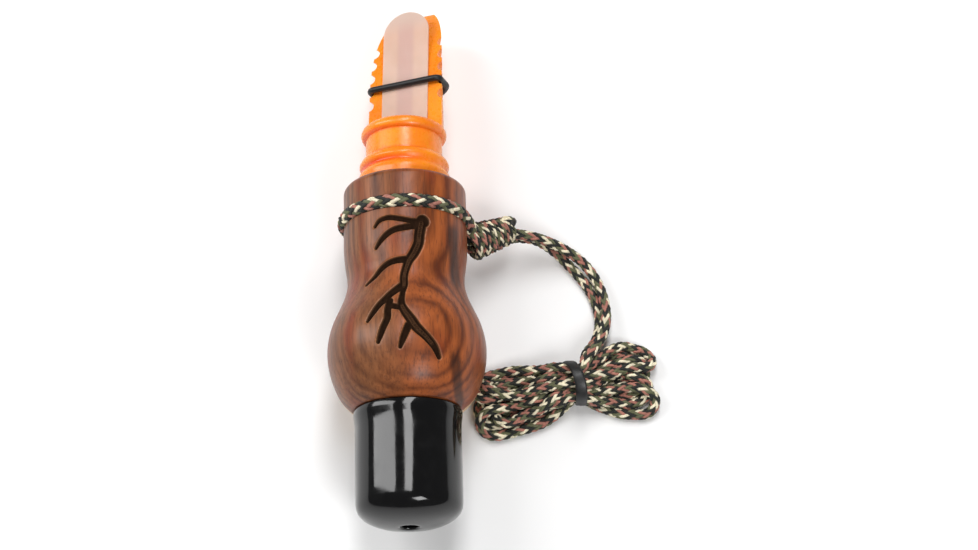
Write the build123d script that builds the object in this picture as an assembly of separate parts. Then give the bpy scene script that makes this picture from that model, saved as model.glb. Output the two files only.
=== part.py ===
from build123d import *
import math
import os

# Grunt call with a turned walnut barrel, an open-reed insert, a slip-on end cap and a braided lanyard.
# The call lies on its side: its axis runs along +Y towards the reed, +Z is up, z = 0 is the surface.
# All dimensions are in millimetres. "Station" is a distance along the axis from the barrel's front rim,
# positive towards the reed.

os.makedirs("parts", exist_ok=True)

# ---------------------------------------------------------------- driving dimensions
BARREL_R = 19.0            # widest point of the barrel, turned from a 38 mm square blank
RIM_Y = 16.0               # where the barrel's front rim stands in the call's own frame
AXIS_Z = BARREL_R          # the barrel's belly rests on the surface
FIT = 0.08                 # radial running clearance between parts that slide

# barrel
NECK_R = 15.05
RIM_ROUND = 1.6
BORE_R = 7.94              # 5/8 inch bore
SHOULDER_AT = -56.4
SHOULDER_R = 13.5
TENON_R = 11.4
TENON_END = -66.0

# lanyard neck loop
CORD_D = 2.7
LOOP_CORD_D = 3.3          # the cord spreads where it is pulled tight round the barrel
LOOP_AT = -8.8
LOOP_R = 15.0              # radius of the cord's centre line round the barrel

# end cap
CAP_WALL = 1.05
CAP_R = TENON_R + FIT + CAP_WALL
CAP_LIP_R = 12.9
CAP_MOUTH = -56.9
CAP_CORNER_AT = -79.0
CAP_END = -84.6
CAP_DOME = 1.6
CAP_END_WALL = 1.3
VENT_R = 2.1

# insert
INSERT_TWIST = 20.0        # how far the insert is turned in the barrel, face towards -X
SPIGOT_R = BORE_R - 0.24
SPIGOT_END = -22.0
AIRWAY_R = 5.2
RING_R = 11.25
RING_AT = 3.2
GROOVE_R = 10.5
GROOVE_AT = 4.6
REAR_BEAD_R = 11.1
REAR_BEAD_AT = 6.0
WAIST_R = 9.5
WAIST_REAR = 8.0
WAIST_FRONT = 13.25
FRONT_BEAD_R = 10.65
FRONT_BEAD_AT = 14.8
COLLAR_FACE = 16.3

# tone board
BOARD_R = 10.0
BOARD_END = 52.6
FACE_SLOPE = 0.078         # fall of the board's face per millimetre towards the tip
FACE_DROP_AT_BREAK = 1.55  # how far below the axis the face is where it starts to curve
BREAK_AT = 29.8
FACE_CURVE_R = 52.0
CHANNEL_W = 4.2
CHANNEL_END = 48.5
NOTCH_PITCH = 4.0
NOTCH_COUNT = 5
NOTCH_DEPTH = 1.2
NOTCH_R = 1.45

# reed and the wedge that holds it
REED_W = 12.5
REED_T = 0.4
REED_ROOT_AT = 4.3
REED_TIP_AT = 51.6
SLOT_R = 7.0
SLOT_REAR = 4.0
WEDGE_FRONT = 15.3

# rubber rings
TUNING_SECTION = 1.6
TUNING_SLACK = 0.35        # room under the board, which the ring needs where the board is thicker
SEAL_SECTION = 1.76
SEAL_R = BORE_R - FIT - SEAL_SECTION / 2
SEAL_STATIONS = (-6.0, -16.0)

# lanyard knot, runs, hank and band
KNOT_REAR = (17.1, 4.9, 12.4)
KNOT_FRONT = (27.3, 9.0, 10.2)
KNOT_R = 4.6
RUN_OUTER = [
    (27.0, 6.6, 12.0),
    (30.8, 6.3, 10.9),
    (34.5, 5.6, 9.3),
    (37.9, 4.7, 7.3),
    (40.9, 3.4, 5.5),
    (43.6, 1.6, 4.2),
    (45.8, -0.9, 3.4),
    (47.4, -3.9, 3.1),
    (48.5, -7.4, 3.2),
    (49.0, -11.0, 3.6),
    (48.9, -14.6, 4.1),
    (48.0, -17.9, 4.7),
    (46.5, -20.7, 5.5),
    (44.7, -23.0, 6.6),
]
RUN_INNER = [
    (27.2, 7.0, 8.4),
    (30.9, 7.1, 7.4),
    (33.9, 6.3, 5.9),
    (36.7, 4.8, 4.1),
    (39.2, 2.8, 2.5),
    (41.5, 0.3, 1.6),
    (43.7, -2.4, 1.4),
    (45.5, -5.4, 1.4),
    (46.8, -8.7, 1.4),
    (47.4, -11.9, 1.4),
    (47.4, -15.0, 1.45),
    (46.6, -18.1, 1.9),
    (45.1, -20.7, 2.7),
    (43.2, -22.9, 3.8),
]
# hank sections: x, centre y, width in y, height, and how far its underside is off the surface
HANK_SECTIONS = [
    (14.0, -35.6, 6.0, 4.0, 1.0),
    (17.0, -35.4, 15.4, 6.4, 0.4),
    (22.5, -35.2, 16.8, 7.2, 0.3),
    (31.5, -32.3, 13.2, 8.6, 0.5),
    (40.6, -30.8, 9.7, 9.8, 1.3),
    (47.5, -30.0, 14.2, 8.4, 0.5),
    (54.0, -29.7, 17.0, 7.0, 0.3),
    (59.0, -29.8, 14.0, 6.2, 0.4),
    (61.0, -30.0, 7.0, 4.0, 1.0),
]
BAND_AT = 4                # index of the hank section that the band goes round
BAND_W = 2.8
BAND_T = 0.9
BAND_CLEAR = 0.2
TAIL_ROOT = (21.6, 9.2, 14.4)   # sealed cord end that stands out of the knot
TAIL_TIP = (26.6, 10.9, 14.0)
TAIL_D = 2.8


# ---------------------------------------------------------------- helpers
def turned(*edges):
    """Solid turned about the call's axis from a closed outline of (radius, station) edges."""
    return revolve(make_face(edges), Axis.Y)


def ring_at(station, centre_r, section_r):
    """Plain torus round the call's axis."""
    outline = Pos(centre_r, station) * Circle(section_r)
    return revolve(outline, Axis.Y)


def tube_between(station_a, station_b, radius):
    """Cylinder on the call's axis between two stations."""
    length = abs(station_b - station_a)
    middle = (station_a + station_b) / 2
    return Pos(0, middle, 0) * Rot(90, 0, 0) * Cylinder(radius, length)


def on_call(shape, twist=0.0):
    """Moves a shape from the axis frame to where the call lies, turned about the axis."""
    return Pos(0, RIM_Y, AXIS_Z) * Rot(0, -twist, 0) * shape


def face_height(station):
    """Height of the straight part of the board's face above the axis."""
    return -FACE_DROP_AT_BREAK - FACE_SLOPE * (station - BREAK_AT)


def save(shape, node):
    """Writes one node."""
    export_step(shape, f"parts/{node}.step")


# ---------------------------------------------------------------- barrel
def make_barrel():
    rim = (NECK_R - RIM_ROUND, 0)
    neck_front = (NECK_R, -RIM_ROUND)
    neck_rear = (NECK_R, -13.0)
    shoulder = (SHOULDER_R, SHOULDER_AT + 0.3)
    belly = Spline(
        neck_rear,
        (14.72, -20.0),
        (14.16, -25.0),
        (15.75, -31.0),
        (17.5, -34.9),
        (BARREL_R, -42.3),
        (17.55, -50.0),
        shoulder,
        tangents=[(0, -1), (-1.0, -0.75)],
    )
    body = turned(
        Line((0, 0), rim),
        RadiusArc(rim, neck_front, RIM_ROUND),
        Line(neck_front, neck_rear),
        belly,
        Line(shoulder, (SHOULDER_R - 0.3, SHOULDER_AT)),
        Line((SHOULDER_R - 0.3, SHOULDER_AT), (TENON_R, SHOULDER_AT)),
        Line((TENON_R, SHOULDER_AT), (TENON_R, TENON_END + 0.6)),
        Line((TENON_R, TENON_END + 0.6), (TENON_R - 0.6, TENON_END)),
        Line((TENON_R - 0.6, TENON_END), (0, TENON_END)),
        Line((0, TENON_END), (0, 0)),
    )
    bore = tube_between(1, TENON_END - 1, BORE_R)
    lanyard_groove = ring_at(LOOP_AT, LOOP_R, LOOP_CORD_D / 2 + 0.02)
    return on_call(body - bore - lanyard_groove)


# ---------------------------------------------------------------- end cap
def make_end_cap():
    flat_end = CAP_R - (CAP_CORNER_AT - CAP_END) * 0.93
    outer = turned(
        Line((0, CAP_MOUTH), (CAP_LIP_R - 0.3, CAP_MOUTH)),
        Line((CAP_LIP_R - 0.3, CAP_MOUTH), (CAP_LIP_R, CAP_MOUTH - 0.4)),
        Line((CAP_LIP_R, CAP_MOUTH - 0.4), (CAP_R, CAP_MOUTH - 3.5)),
        Line((CAP_R, CAP_MOUTH - 3.5), (CAP_R, CAP_CORNER_AT)),
        Spline(
            (CAP_R, CAP_CORNER_AT),
            (CAP_R - 1.5, CAP_END + CAP_DOME + 1.35),
            (flat_end, CAP_END + CAP_DOME * 0.42),
            (0, CAP_END),
            tangents=[(0, -1), (-1, 0)],
        ),
        Line((0, CAP_END), (0, CAP_MOUTH)),
    )
    inner_r = CAP_R - CAP_WALL
    floor = CAP_END + CAP_END_WALL
    corner = 4.2
    hollow = turned(
        Line((0, CAP_MOUTH + 1), (inner_r, CAP_MOUTH + 1)),
        Line((inner_r, CAP_MOUTH + 1), (inner_r, CAP_CORNER_AT)),
        RadiusArc((inner_r, CAP_CORNER_AT), (inner_r - corner, CAP_CORNER_AT - corner), corner),
        Line((inner_r - corner, CAP_CORNER_AT - corner), (0, floor)),
        Line((0, floor), (0, CAP_MOUTH + 1)),
    )
    vent = tube_between(CAP_END - 1, floor + 1, VENT_R)
    return on_call(outer - hollow - vent)


# ---------------------------------------------------------------- insert
def make_collar():
    """Spigot and beaded collar as one turned body."""
    bead = [
        (RING_R - 0.35, 0.0),
        (RING_R, 1.6),
        (RING_R, RING_AT),
        (GROOVE_R, GROOVE_AT),
        (REAR_BEAD_R, REAR_BEAD_AT),
        (REAR_BEAD_R - 0.3, 6.95),
        (WAIST_R, WAIST_REAR),
    ]
    face_edge = (WAIST_R, COLLAR_FACE)
    return turned(
        Line((0, SPIGOT_END), (SPIGOT_R - 0.5, SPIGOT_END)),
        Line((SPIGOT_R - 0.5, SPIGOT_END), (SPIGOT_R, SPIGOT_END + 0.5)),
        Line((SPIGOT_R, SPIGOT_END + 0.5), (SPIGOT_R, 0)),
        Line((SPIGOT_R, 0), bead[0]),
        Spline(*bead, tangents=[(0.3, 1), (-1, 0.35)]),
        Line(bead[-1], (WAIST_R, WAIST_FRONT)),
        ThreePointArc((WAIST_R, WAIST_FRONT), (FRONT_BEAD_R, FRONT_BEAD_AT), face_edge),
        Line(face_edge, (0, COLLAR_FACE)),
        Line((0, COLLAR_FACE), (0, SPIGOT_END)),
    )


def above_face(station_a, station_b, lift=0.0):
    """Block above the board's face, raised by lift, between two stations."""
    half = BOARD_R + 4
    top = 14.0
    last_straight = min(station_b, BREAK_AT)
    low_a = (station_a, face_height(station_a) + lift)
    low_b = (last_straight, face_height(last_straight) + lift)
    edges = [Line((station_a, top), low_a), Line(low_a, low_b)]
    end = low_b
    if station_b > BREAK_AT:
        run = station_b - BREAK_AT
        fall = FACE_SLOPE * run + run * run / (2 * FACE_CURVE_R)
        end = (station_b, low_b[1] - fall)
        edges.append(TangentArc(low_b, end, tangent=(1, -FACE_SLOPE)))
    edges.append(Line(end, (station_b, top)))
    edges.append(Line((station_b, top), (station_a, top)))
    profile = Plane.YZ * make_face(edges)
    return extrude(profile, amount=half, both=True)


def notch_station(index):
    """Station of a notch; index 0 is next to the collar and the ring sits in index 1."""
    return BREAK_AT + (index - 1) * NOTCH_PITCH


def make_notches():
    """Scalloped cuts down both flanks of the board."""
    cuts = []
    for index in range(NOTCH_COUNT):
        station = notch_station(index)
        drop = face_height(station)
        if station > BREAK_AT:
            drop -= (station - BREAK_AT) ** 2 / (2 * FACE_CURVE_R)
        chord = math.sqrt(BOARD_R**2 - drop**2)
        for side in (-1, 1):
            x = side * (chord - NOTCH_DEPTH + NOTCH_R)
            cuts.append(Pos(x, station, -4) * Cylinder(NOTCH_R, 16))
    return cuts


def make_insert():
    collar = make_collar()
    board = tube_between(COLLAR_FACE - 1, BOARD_END, BOARD_R)
    board = board - above_face(COLLAR_FACE - 2, BOARD_END + 1)
    slot = tube_between(SLOT_REAR, COLLAR_FACE + 0.5, SLOT_R) & above_face(SLOT_REAR - 1, COLLAR_FACE + 1)
    airway = tube_between(SPIGOT_END - 1, SLOT_REAR, AIRWAY_R)
    channel_outline = make_face(
        Polyline(
            [
                (SLOT_REAR - 1, 3.0),
                (SLOT_REAR - 1, -4.4),
                (CHANNEL_END - 3, -7.6),
                (CHANNEL_END, -5.4),
                (CHANNEL_END, 3.0),
            ],
            close=True,
        )
    )
    channel = extrude(Plane.YZ * channel_outline, amount=CHANNEL_W / 2, both=True)
    shape = collar + board
    shape = shape - slot - airway - channel
    for station in SEAL_STATIONS:
        seat = tube_between(station - 1.1, station + 1.1, SPIGOT_R + 1)
        seat = seat - tube_between(station - 1.2, station + 1.2, SEAL_R - SEAL_SECTION / 2 - 0.02)
        shape = shape - seat
    for cut in make_notches():
        shape = shape - cut
    return on_call(shape, INSERT_TWIST)


def make_seal(station):
    return on_call(ring_at(station, SEAL_R, SEAL_SECTION / 2))


# ---------------------------------------------------------------- reed, wedge and tuning ring
def reed_slab(station_a, station_b, lift):
    """Stretch of the flat reed strip, which lies along the straight face."""
    gap = 0.02
    low_a = face_height(station_a) + lift + gap
    low_b = face_height(station_b) + lift + gap
    outline = make_face(
        Polyline(
            [
                (station_a, low_a),
                (station_b, low_b),
                (station_b, low_b + REED_T),
                (station_a, low_a + REED_T),
            ],
            close=True,
        )
    )
    return extrude(Plane.YZ * outline, amount=REED_W / 2, both=True)


def make_reed_root():
    return on_call(reed_slab(REED_ROOT_AT, BREAK_AT, 0.0), INSERT_TWIST)


def make_reed_tip():
    strip = reed_slab(BREAK_AT, REED_TIP_AT, 0.0)
    round_r = REED_W / 2
    centre = REED_TIP_AT - round_r
    plan = Pos(0, centre) * Circle(round_r)
    plan = plan + Pos(0, (BREAK_AT + centre) / 2) * Rectangle(REED_W, centre - BREAK_AT)
    cutter = extrude(Pos(0, 0, -8) * plan, amount=16)
    return on_call(strip & cutter, INSERT_TWIST)


def make_wedge():
    lift = REED_T + 0.04
    plug = tube_between(SLOT_REAR + 0.1, WEDGE_FRONT, SLOT_R - 0.03)
    plug = plug & above_face(SLOT_REAR - 1, COLLAR_FACE, lift)
    return on_call(plug, INSERT_TWIST)


def make_tuning_ring():
    """Rubber ring stretched over the reed and down both notches."""
    radius = TUNING_SECTION / 2
    top = face_height(BREAK_AT) + REED_T + radius + 0.06
    side = math.sqrt(BOARD_R**2 - FACE_DROP_AT_BREAK**2) - NOTCH_DEPTH + radius + FIT
    under_r = BOARD_R + radius + TUNING_SLACK
    low = -math.sqrt(under_r**2 - side**2)
    loop = make_face(
        [
            Line((-side, top), (side, top)),
            Line((side, top), (side, low)),
            ThreePointArc((side, low), (0, -under_r), (-side, low)),
            Line((-side, low), (-side, top)),
        ]
    )
    top_corners = loop.vertices().sort_by(Axis.Y)[-2:]
    loop = fillet(top_corners, 1.3)
    low_corners = loop.vertices().sort_by(Axis.Y)[:2]
    loop = fillet(low_corners, 3.0)
    plane = Plane(origin=(0, BREAK_AT, 0), x_dir=(1, 0, 0), z_dir=(0, -1, 0))
    path = (plane * loop).face().outer_wire()
    section = Plane(origin=path @ 0, z_dir=path % 0) * Circle(radius)
    return on_call(sweep(section, path=path), INSERT_TWIST)


# ---------------------------------------------------------------- lanyard
def make_neck_loop():
    return on_call(ring_at(LOOP_AT, LOOP_R, LOOP_CORD_D / 2))


def along(start, end):
    """Plane at start whose normal points to end."""
    return Plane(origin=start, z_dir=Vector(*end) - Vector(*start))


def make_knot():
    """Knot as a rounded cylinder round the strands."""
    length = (Vector(*KNOT_FRONT) - Vector(*KNOT_REAR)).length
    knot = along(KNOT_REAR, KNOT_FRONT) * Pos(0, 0, length / 2) * Cylinder(KNOT_R, length)
    return fillet(knot.edges().filter_by(GeomType.CIRCLE), 1.2)


def make_knot_tail():
    """Sealed cord end that stands out of the top of the knot, above the runs."""
    length = (Vector(*TAIL_TIP) - Vector(*TAIL_ROOT)).length
    tail = along(TAIL_ROOT, TAIL_TIP) * Pos(0, 0, length / 2) * Cylinder(TAIL_D / 2, length)
    return fillet(tail.edges().filter_by(GeomType.CIRCLE), 0.4)


def bend_radii(points):
    """Radius of each corner's arc: 0.45 of the shorter run over the tangent of half the turn."""
    radii = []
    for before, here, after in zip(points, points[1:], points[2:]):
        run_in = Vector(*here) - Vector(*before)
        run_out = Vector(*after) - Vector(*here)
        half_turn = math.radians(run_in.get_angle(run_out)) / 2
        radii.append(0.45 * min(run_in.length, run_out.length) / math.tan(half_turn))
    return radii


def make_run(name, points):
    radii = bend_radii(points)
    path = FilletPolyline(*points, radius=radii)
    section = Plane(origin=path @ 0, z_dir=path % 0) * Circle(CORD_D / 2)
    tube = sweep(section, path=path)
    expected = math.pi * (CORD_D / 2) ** 2 * path.length
    print(name, "radii", [round(value, 1) for value in radii], "length", round(path.length, 1))
    print(name, "volume", round(tube.volume, 1), "section x length", round(expected, 1))
    return tube


def hank_section(entry):
    """Oval across the hank that stands on the surface."""
    x, y, width, height, base = entry
    plane = Plane(origin=(x, y, base + height / 2), x_dir=(0, 1, 0), z_dir=(1, 0, 0))
    return plane * Ellipse(width / 2, height / 2)


def make_hank():
    return loft([hank_section(entry) for entry in HANK_SECTIONS])


def make_band():
    x, y, width, height, base = HANK_SECTIONS[BAND_AT]
    plane = Plane(origin=(x - BAND_W / 2, y, base + height / 2), x_dir=(0, 1, 0), z_dir=(1, 0, 0))
    inner = Ellipse(width / 2 + BAND_CLEAR, height / 2 + BAND_CLEAR)
    outer = Ellipse(width / 2 + BAND_CLEAR + BAND_T, height / 2 + BAND_CLEAR + BAND_T)
    return extrude(plane * (outer - inner), amount=BAND_W)


# ---------------------------------------------------------------- write the nodes
save(make_barrel(), "barrel")
save(make_end_cap(), "end_cap")
save(make_insert(), "reed_insert")
save(make_seal(SEAL_STATIONS[0]), "seal_ring_front")
save(make_seal(SEAL_STATIONS[1]), "seal_ring_rear")
save(make_reed_root(), "reed_root")
save(make_reed_tip(), "reed_tip")
save(make_wedge(), "reed_wedge")
save(make_tuning_ring(), "tuning_ring")
save(make_neck_loop(), "neck_loop")
save(make_knot(), "lanyard_knot")
save(make_knot_tail(), "knot_tail")
save(make_run("run_outer", RUN_OUTER), "run_outer")
save(make_run("run_inner", RUN_INNER), "run_inner")
save(make_hank(), "lanyard_hank")
save(make_band(), "hank_band")
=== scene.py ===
import math

import bpy
import numpy as np
from mathutils import Matrix, Vector, noise
from mathutils.bvhtree import BVHTree


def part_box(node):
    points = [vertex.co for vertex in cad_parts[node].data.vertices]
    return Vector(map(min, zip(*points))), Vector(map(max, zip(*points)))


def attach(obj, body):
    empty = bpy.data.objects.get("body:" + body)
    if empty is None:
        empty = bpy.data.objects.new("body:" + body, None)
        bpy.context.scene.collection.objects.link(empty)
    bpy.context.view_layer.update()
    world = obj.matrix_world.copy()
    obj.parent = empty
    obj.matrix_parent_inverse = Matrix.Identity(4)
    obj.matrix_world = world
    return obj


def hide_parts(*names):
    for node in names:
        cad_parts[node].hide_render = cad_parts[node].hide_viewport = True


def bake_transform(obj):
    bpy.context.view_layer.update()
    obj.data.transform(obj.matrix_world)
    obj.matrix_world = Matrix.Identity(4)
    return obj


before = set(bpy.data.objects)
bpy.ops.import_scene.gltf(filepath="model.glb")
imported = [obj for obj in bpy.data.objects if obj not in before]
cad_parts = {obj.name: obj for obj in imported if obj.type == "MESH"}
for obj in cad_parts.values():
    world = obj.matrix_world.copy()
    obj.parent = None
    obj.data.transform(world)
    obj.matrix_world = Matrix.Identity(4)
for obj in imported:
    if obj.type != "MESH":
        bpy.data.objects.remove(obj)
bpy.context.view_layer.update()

# Metres everywhere. The call lies along +Y with its reed away from the camera; z = 0 is the floor.
# "Station" is a distance along the call's axis from the barrel's rim, positive towards the reed.
MM = 0.001
RIM_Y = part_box("barrel")[1].y
AXIS_Z = (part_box("barrel")[0].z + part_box("barrel")[1].z) / 2
TWIST = math.radians(-20)
ON_INSERT = Matrix.Translation((0, RIM_Y, AXIS_Z)) @ Matrix.Rotation(TWIST, 4, "Y")
CORD_D = 2.7 * MM
LOOP_CORD_D = 3.3 * MM


# ---------------------------------------------------------------- camera
def make_camera():
    data = bpy.data.cameras.new("camera")
    data.sensor_width = 36.0
    data.lens = 66.26
    data.clip_start = 0.01
    camera = bpy.data.objects.new("camera", data)
    place = Matrix.Translation((0.02014, -0.16350, 0.42656))
    tilt = Matrix.Rotation(math.radians(21.024), 4, "X")
    roll = Matrix.Rotation(math.radians(-1.878), 4, "Z")
    camera.matrix_world = place @ tilt @ roll
    bpy.context.scene.collection.objects.link(camera)
    bpy.context.scene.camera = camera


# ---------------------------------------------------------------- mesh helpers
def add_piece(name, verts, faces, material, smooth=True):
    """A mesh object from arrays of vertices and faces."""
    mesh = bpy.data.meshes.new(name)
    mesh.from_pydata([tuple(v) for v in verts], [], [tuple(f) for f in faces])
    mesh.validate()
    mesh.polygons.foreach_set("use_smooth", [smooth] * len(mesh.polygons))
    mesh.materials.append(material)
    piece = bpy.data.objects.new(name, mesh)
    bpy.context.scene.collection.objects.link(piece)
    return piece


def point_values(piece, name, values):
    """Stores one number per vertex for a material to read."""
    layer = piece.data.attributes.new(name, "FLOAT", "POINT")
    layer.data.foreach_set("value", np.asarray(values, np.float32))


def grid_faces(rows, columns, wrap_rows=False, wrap_columns=False, start=0):
    """Quads over a grid of vertices stored row by row."""
    i = np.arange(rows if wrap_rows else rows - 1)[:, None]
    j = np.arange(columns if wrap_columns else columns - 1)[None, :]
    i2 = (i + 1) % rows
    j2 = (j + 1) % columns
    corners = (i * columns + j, i * columns + j2, i2 * columns + j2, i2 * columns + j)
    return np.stack(np.broadcast_arrays(*corners), -1).reshape(-1, 4) + start


def crease_by_angle(piece, degrees):
    """Keeps edges sharper than this angle crisp."""
    piece.data.set_sharp_from_angle(angle=math.radians(degrees))


def lathe(name, outline, material, angles=96, sharp=40):
    """Turns a closed (radius, station) outline about the call's axis, in millimetres."""
    outline = np.array(outline) * MM
    turn = np.linspace(0, 2 * np.pi, angles, endpoint=False)
    r = outline[:, 0][:, None]
    y = np.broadcast_to(outline[:, 1][:, None] + RIM_Y, (len(outline), angles))
    verts = np.stack([r * np.sin(turn), y, r * np.cos(turn) + AXIS_Z], -1).reshape(-1, 3)
    faces = grid_faces(len(outline), angles, wrap_rows=True, wrap_columns=True)
    piece = add_piece(name, verts, faces, material)
    crease_by_angle(piece, sharp)
    return piece


def evenly(line, step):
    """Points along a line at one spacing, near step."""
    lengths = np.r_[0, np.cumsum(np.linalg.norm(np.diff(line, axis=0), axis=1))]
    count = max(2, round(lengths[-1] / step)) + 1
    at = np.linspace(0, lengths[-1], count)
    return np.stack([np.interp(at, lengths, line[:, k]) for k in range(3)], -1), lengths[-1]


def spline_line(points):
    """The smooth line of a NURBS spline with these control points."""
    curve = bpy.data.curves.new("route", "CURVE")
    curve.dimensions = "3D"
    curve.resolution_u = 12
    spline = curve.splines.new("NURBS")
    spline.points.add(len(points) - 1)
    for target, point in zip(spline.points, points):
        target.co = (*point, 1.0)
    spline.order_u = 3
    spline.use_endpoint_u = True
    route = bpy.data.objects.new("route", curve)
    bpy.context.scene.collection.objects.link(route)
    bpy.context.view_layer.update()
    mesh = bpy.data.meshes.new_from_object(route)
    line = np.array([v.co for v in mesh.vertices])
    bpy.data.objects.remove(route)
    bpy.data.meshes.remove(mesh)
    return line


def carried_frames(line):
    """Tangent and two side directions at each point, carried along without twisting."""
    tangent = np.gradient(line, axis=0)
    tangent /= np.linalg.norm(tangent, axis=1)[:, None]
    side = np.zeros_like(line)
    across = np.cross(tangent[0], (0.3, 0.2, 1.0))
    for i, direction in enumerate(tangent):
        across = across - direction * (across @ direction)
        across /= np.linalg.norm(across)
        side[i] = across
    return tangent, side, np.cross(tangent, side)


# ---------------------------------------------------------------- material helpers
class Finish:
    """A node material: each call to add() makes one node, with its inputs set or linked."""

    def __init__(self, name):
        self.material = bpy.data.materials.new(name)
        self.material.use_nodes = True
        self.tree = self.material.node_tree
        self.shader = self.tree.nodes["Principled BSDF"]

    def add(self, kind, inputs=None, **settings):
        node = self.tree.nodes.new("ShaderNode" + kind)
        for key, value in settings.items():
            setattr(node, key, value)
        self.fill(node, inputs or {})
        return node

    def fill(self, node, inputs):
        for key, value in inputs.items():
            if isinstance(value, bpy.types.NodeSocket):
                self.tree.links.new(value, node.inputs[key])
            else:
                node.inputs[key].default_value = value

    def set(self, **inputs):
        names = {key.replace("_", " "): value for key, value in inputs.items()}
        self.fill(self.shader, names)

    def place(self, scale=(1, 1, 1), turn=(0, 0, 0), shift=(0, 0, 0)):
        """Coordinates on the piece, in metres times scale."""
        at = self.add("TexCoord").outputs["Object"]
        inputs = {"Vector": at, "Scale": scale, "Rotation": turn, "Location": shift}
        return self.add("Mapping", inputs).outputs["Vector"]

    def noise(self, vector, scale, detail=3.0, roughness=0.5, distortion=0.0):
        inputs = {"Vector": vector, "Scale": scale, "Detail": detail, "Roughness": roughness}
        inputs["Distortion"] = distortion
        return self.add("TexNoise", inputs).outputs["Fac"]

    def math(self, operation, a, b=0.5, clamp=False):
        return self.add("Math", {0: a, 1: b}, operation=operation, use_clamp=clamp).outputs[0]

    def span(self, value, low, high, to_low=0.0, to_high=1.0):
        inputs = {"Value": value, "From Min": low, "From Max": high, "To Min": to_low, "To Max": to_high}
        return self.add("MapRange", inputs, interpolation_type="SMOOTHSTEP").outputs["Result"]

    def mix(self, factor, a, b, blend="MIX"):
        node = self.add("Mix", {0: factor, 6: a, 7: b}, data_type="RGBA", blend_type=blend)
        return node.outputs[2]

    def bump(self, height, distance, strength=1.0, normal=None):
        inputs = {"Height": height, "Distance": distance, "Strength": strength}
        if normal is not None:
            inputs["Normal"] = normal
        return self.add("Bump", inputs).outputs["Normal"]

    def attribute(self, name):
        return self.add("Attribute", attribute_name=name).outputs["Fac"]

    def ramp(self, value, stops, interpolation="LINEAR"):
        node = self.add("ValToRGB", {"Fac": value})
        node.color_ramp.interpolation = interpolation
        elements = node.color_ramp.elements
        while len(elements) < len(stops):
            elements.new(0.5)
        for element, (position, colour) in zip(elements, stops):
            element.position = position
            element.color = colour
        return node.outputs["Color"]


def srgb(red, green, blue):
    """A colour from its usual 0 to 255 numbers."""
    parts = [c / 255 for c in (red, green, blue)]
    return (*[c / 12.92 if c <= 0.04045 else ((c + 0.055) / 1.055) ** 2.4 for c in parts], 1.0)


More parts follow.
